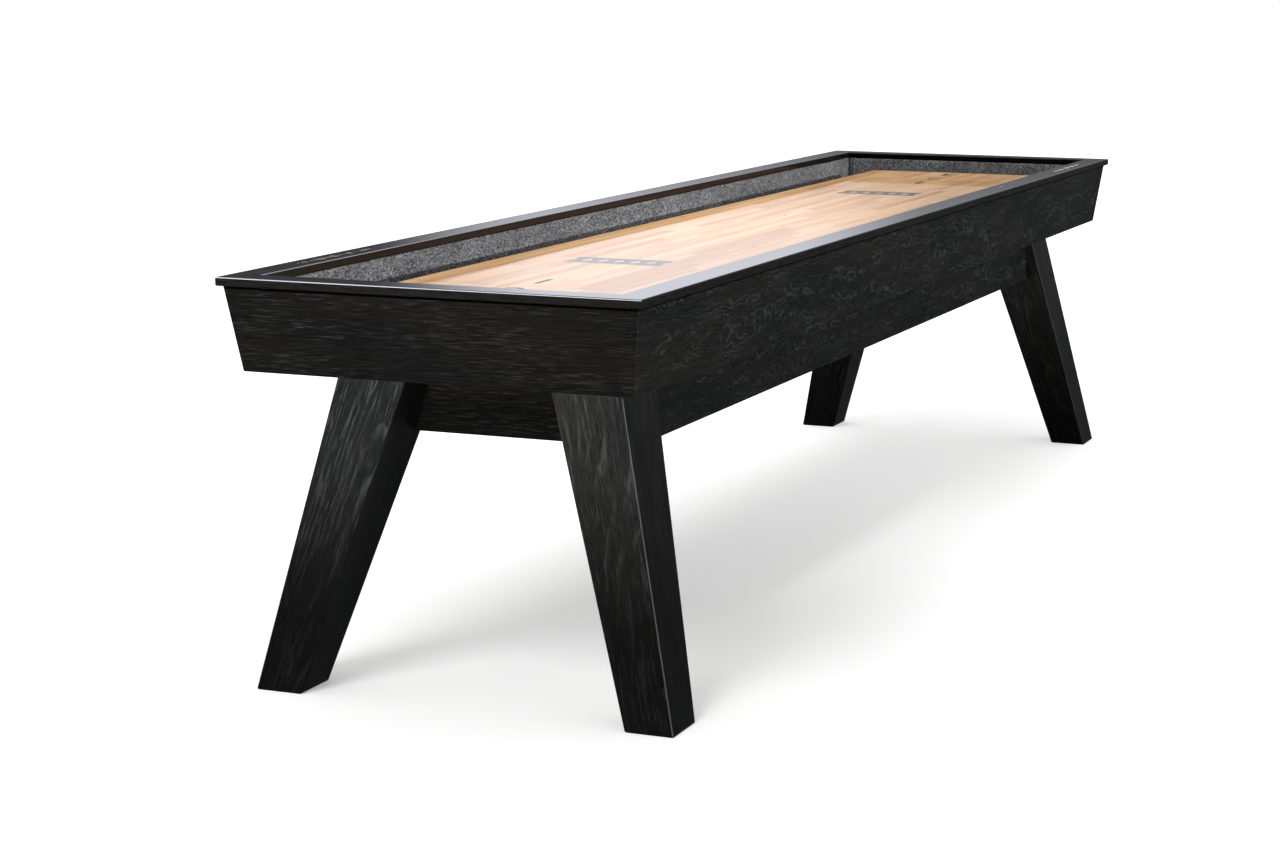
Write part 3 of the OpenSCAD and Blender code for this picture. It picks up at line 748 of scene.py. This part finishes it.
def floor():
    """A wide pale floor that glows: painted light, brighter towards the far end."""
    bm = bmesh.new()
    bmesh.ops.create_grid(bm, x_segments=1, y_segments=1, size=60)
    mesh = bpy.data.meshes.new("studio_floor")
    bm.to_mesh(mesh)
    bm.free()
    g = material_graph("pale_glowing_floor")
    p = object_point(g)
    x, y, z = g.parts(p)
    cloud = g.noise(p, scale=0.6)
    tint = g.mix(g.times(cloud, 0.03), (0.72, 0.72, 0.72), (0.69, 0.69, 0.69))
    g.finish(
        Base_Color=tint,
        Roughness=0.9,
        Specular_IOR_Level=0.0,
        Emission_Color=(1.0, 1.0, 1.0),
        # Painted light: the floor glows from 0.28 at the near end to 0.50 at the far end, lightening its
        # shadows.
        Emission_Strength=g.span(x, -1.8, 1.6, 0.28, 0.50),
    )
    mesh.materials.append(g.owner)
    made = bpy.data.objects.new("studio_floor", mesh)
    made.visible_diffuse = False
    made.visible_glossy = False
    bpy.context.scene.collection.objects.link(made)


def lamp(name, kind, place, target, power, **settings):
    """A lamp that lights matt surfaces. What glossy ones see is in room_reflection."""
    light = bpy.data.lights.new(name, kind)
    light.energy = power
    for key, value in settings.items():
        setattr(light, key, value)
    made = bpy.data.objects.new(name, light)
    made.location = place
    made.rotation_mode = "QUATERNION"
    made.rotation_quaternion = (Vector(target) - Vector(place)).to_track_quat("-Z", "Y")
    made.visible_camera = False
    made.visible_glossy = False
    bpy.context.scene.collection.objects.link(made)


def bar_light(name, place, target, power, length, spread):
    """A long narrow lamp whose light stays within a narrow band."""
    lamp(
        name, "AREA", place, target, power,
        shape="RECTANGLE", size=length, size_y=0.12, spread=math.radians(spread),
    )


def room_reflection(g):
    """What glossy surfaces see: a lit backdrop, a strip light, three softboxes and dark screens."""
    x, y, z = g.parts(g.add("ShaderNodeTexCoord", output="Generated"))
    height = g.times(g.math("ARCSINE", z), 180 / math.pi)
    heading = g.times(g.math("ARCTAN2", y, x), 180 / math.pi)

    def card(headings, heights, strength):
        across = g.window(heading, *headings)
        return g.times(g.times(across, g.window(height, *heights)), strength)

    # The backdrop beyond the table dims to the right in two steps and ends sharply on the left
    beside = g.times(g.span(heading, 23.6, 28.0, 1.0, 0.0), g.span(heading, 15.6, 19.0, 0.4, 1.0))
    beside = g.times(beside, g.span(heading, 0.0, 12.0, 0.2, 1.0))
    backdrop = g.times(g.times(beside, g.window(height, 3.4, 6.9, 32.0, 38.0)), 1.65)
    strip = card((-30.0, -20.0, 2.0, 8.0), (24.0, 28.0, 32.0, 38.0), 5.0)
    right = card((-152.0, -142.0, -92.0, -82.0), (-14.0, -6.0, 22.0, 32.0), 16.0)
    overhead = card((48.0, 58.0, 135.0, 145.0), (34.0, 42.0, 60.0, 68.0), 11.0)
    near_end = card((124.0, 130.0, 160.0, 166.0), (22.0, 28.0, 50.0, 56.0), 42.0)
    lit = g.sum(g.sum(right, overhead), near_end)
    lit = g.sum(lit, g.sum(backdrop, strip))
    return g.sum(lit, 0.11)


def room_light(g):
    """What matt surfaces see: a wide bright dome over dim walls, darkest beyond the near end."""
    x, y, z = g.parts(g.add("ShaderNodeTexCoord", output="Generated"))
    overhead = g.span(z, 0.10, 0.60)
    walls = g.span(x, -0.9, 0.2, 0.03, 0.10)
    walls = g.times(walls, g.span(z, -0.35, 0.05, 0.35, 1.0))
    return g.mix(overhead, walls, (1.0, 1.0, 1.0))


def studio():
    """The floor, the lamps, and a world that is plain white, a lit room or a dome, as the ray needs."""
    floor()
    world = bpy.data.worlds.new("studio_world")
    bpy.context.scene.world = world
    # Rays find the world by themselves, so that each kind of ray meets its own side of it
    world.cycles.sampling_method = "NONE"
    g = Graph(world)
    g.tree.nodes.clear()
    path = g.tree.nodes.new("ShaderNodeLightPath")
    seen, glossy = path.outputs["Is Camera Ray"], path.outputs["Is Glossy Ray"]
    strength = g.mix(glossy, room_light(g), room_reflection(g))
    strength = g.mix(seen, strength, (1.0, 1.0, 1.0))
    tint = g.mix(glossy, (1.0, 1.0, 1.0), (0.90, 0.915, 1.0))
    sky = g.add("ShaderNodeBackground", {"Color": tint, "Strength": strength})
    out = g.tree.nodes.new("ShaderNodeOutputWorld")
    g.tree.links.new(sky, out.inputs[0])
    lamp("key_light", "SUN", (-4, 0.4, 3.7), (0, 0, 0), 1.9, angle=math.radians(24))
    bar_light("end_light", (-5.0, -0.1, 0.35), (-1.7, -0.1, 0.76), 36, length=2.0, spread=20)
    bar_light("far_end_light", (5.0, 0.1, 0.35), (1.7, 0.1, 0.76), 24, length=2.0, spread=20)
    lamp(
        "pool_light", "SPOT", (0.1, -1.0, 3.4), (0.1, 0.15, 0.77), 150,
        spot_size=math.radians(40), spot_blend=1.0, shadow_soft_size=0.3,
    )
    bar_light("side_light", (-0.2, -3.4, 1.30), (-0.2, -0.4, 0.74), 14, length=4.4, spread=19)
    bar_light("back_light", (0.2, 3.4, 0.35), (0.2, 0.4, 0.74), 14, length=4.4, spread=19)


def camera():
    """The camera fitted to the photo: past the near end, to the front side, looking slightly down."""
    yaw, pitch, roll = math.radians(22.03), math.radians(-9.79), math.radians(0.25)
    ahead = Vector(
        (math.cos(yaw) * math.cos(pitch), math.sin(yaw) * math.cos(pitch), math.sin(pitch))
    )
    level = Vector((math.sin(yaw), -math.cos(yaw), 0))
    rise = level.cross(ahead)
    right = math.cos(roll) * level + math.sin(roll) * rise
    up = -math.sin(roll) * level + math.cos(roll) * rise
    data = bpy.data.cameras.new("camera")
    data.sensor_width = 36.0
    data.lens = 76.4
    data.clip_end = 200.0
    made = bpy.data.objects.new("camera", data)
    made.rotation_mode = "QUATERNION"
    made.rotation_quaternion = Matrix((right, up, -ahead)).transposed().to_quaternion()
    made.location = (-6.109, -2.150, 1.390)
    bpy.context.scene.collection.objects.link(made)
    bpy.context.scene.camera = made


studio()
camera()
bpy.context.scene.view_settings.view_transform = "Standard"
bpy.context.scene.view_settings.look = "None"
